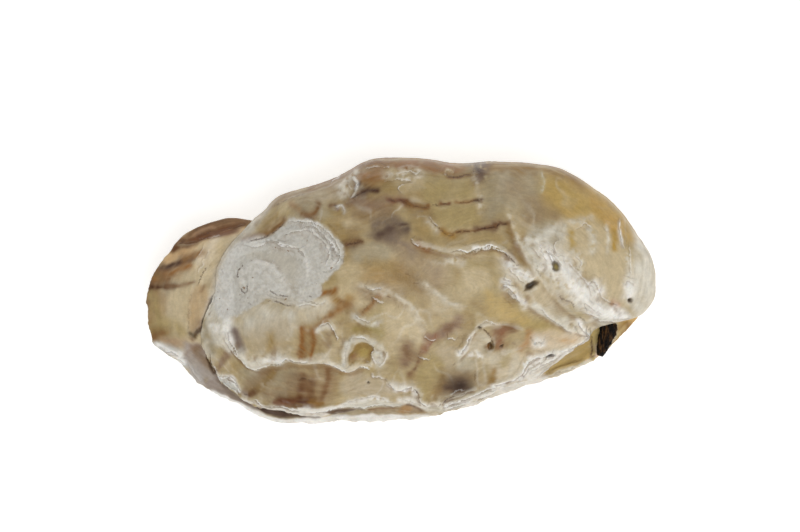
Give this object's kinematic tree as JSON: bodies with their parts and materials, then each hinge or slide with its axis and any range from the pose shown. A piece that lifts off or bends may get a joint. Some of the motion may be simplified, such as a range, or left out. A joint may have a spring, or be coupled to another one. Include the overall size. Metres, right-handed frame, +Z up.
{
  "type": "oyster shell",
  "caption": "Closed, empty oyster shell: a chalky, ruffled and domed upper valve on a cupped lower valve with a brown-striped lip, and a dark ligament at the hinge.",
  "frame": {"origin": "centre of the shell's box, on the level that the shell rests on", "axes": "+X along the shell to its rounded hinge end, +Z up through the upper valve, and the hinge shows on the -Y side"},
  "size_m": [0.11, 0.0574, 0.0315],
  "materials": {
    "upper_shell": "chalky white worn patch on tan, gold and brown layered shell, satin",
    "lower_shell": "cream shell with brown stripes and fine growth lines, satin",
    "ligament": "dark brown, horny and slightly glossy"
  },
  "bodies": {
    "root": {"upper_valve": "upper_shell", "lower_valve": "lower_shell", "hinge_ligament": "ligament"}
  },
  "joints": []
}
